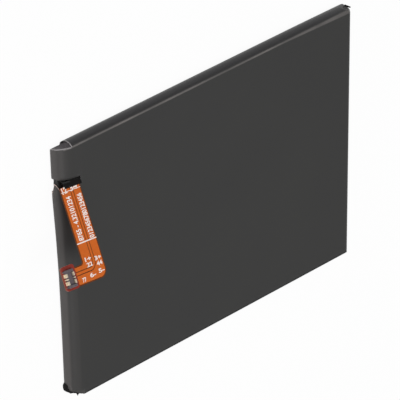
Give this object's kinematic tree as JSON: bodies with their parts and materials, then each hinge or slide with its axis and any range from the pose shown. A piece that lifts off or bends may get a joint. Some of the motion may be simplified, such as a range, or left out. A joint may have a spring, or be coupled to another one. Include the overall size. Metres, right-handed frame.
{
  "type": "mobile phone battery",
  "caption": "Flat lithium-ion phone battery pack: sealed pouch cell and protection board in a plastic wrap, with a lifted flat circuit and board-to-board connector.",
  "frame": {"origin": "centre of the flat back face", "axes": "+X from the rolled terminal end to the plain end, +Y towards the long edge whose wrap is open at the roll, +Z out of the front face, back flat on the surface"},
  "size_m": [0.1039, 0.0624, 0.0141],
  "materials": {
    "wrap_film": "satin dark grey plastic film",
    "pouch_laminate": "satin aluminium laminate",
    "aluminium_tab": "satin",
    "nickel_tab": "satin",
    "tab_sealant": "matt",
    "white_tape": "matt",
    "board_laminate": "satin solder mask",
    "black_resin": "matt moulded resin",
    "fuse_body": "matt",
    "ceramic_chip": "matt ceramic",
    "dark_tape": "dark grey insulating tape",
    "black_tape": "glossy",
    "flex_polyimide": "glossy orange polyimide",
    "solder": "bright",
    "connector_board": "satin red-brown",
    "stiffener": "matt laminate",
    "connector_resin": "moulded resin",
    "gold_contact": "pale gold plated"
  },
  "bodies": {
    "root": {"anchor_pads": "solder", "board_tape": "white_tape", "chip_capacitors": "ceramic_chip", "chip_resistors": "black_resin", "connector_board": "connector_board", "connector_housing": "connector_resin", "connector_stiffener": "stiffener", "corner_tape": "black_tape", "cover_tape": "dark_tape", "flex_circuit": "flex_polyimide", "flex_root_tape": "black_tape", "flex_solder_joints": "solder", "fuse": "fuse_body", "negative_tab": "nickel_tab", "negative_tab_seal": "tab_sealant", "negative_weld_plate": "nickel_tab", "positive_tab": "aluminium_tab", "positive_tab_seal": "tab_sealant", "positive_weld_plate": "nickel_tab", "pouch_cell": "pouch_laminate", "power_contacts": "gold_contact", "protection_board": "board_laminate", "protection_ic": "black_resin", "signal_contacts": "gold_contact", "switch_transistors": "black_resin", "thermistor": "ceramic_chip", "wrap_film": "wrap_film"}
  },
  "joints": []
}
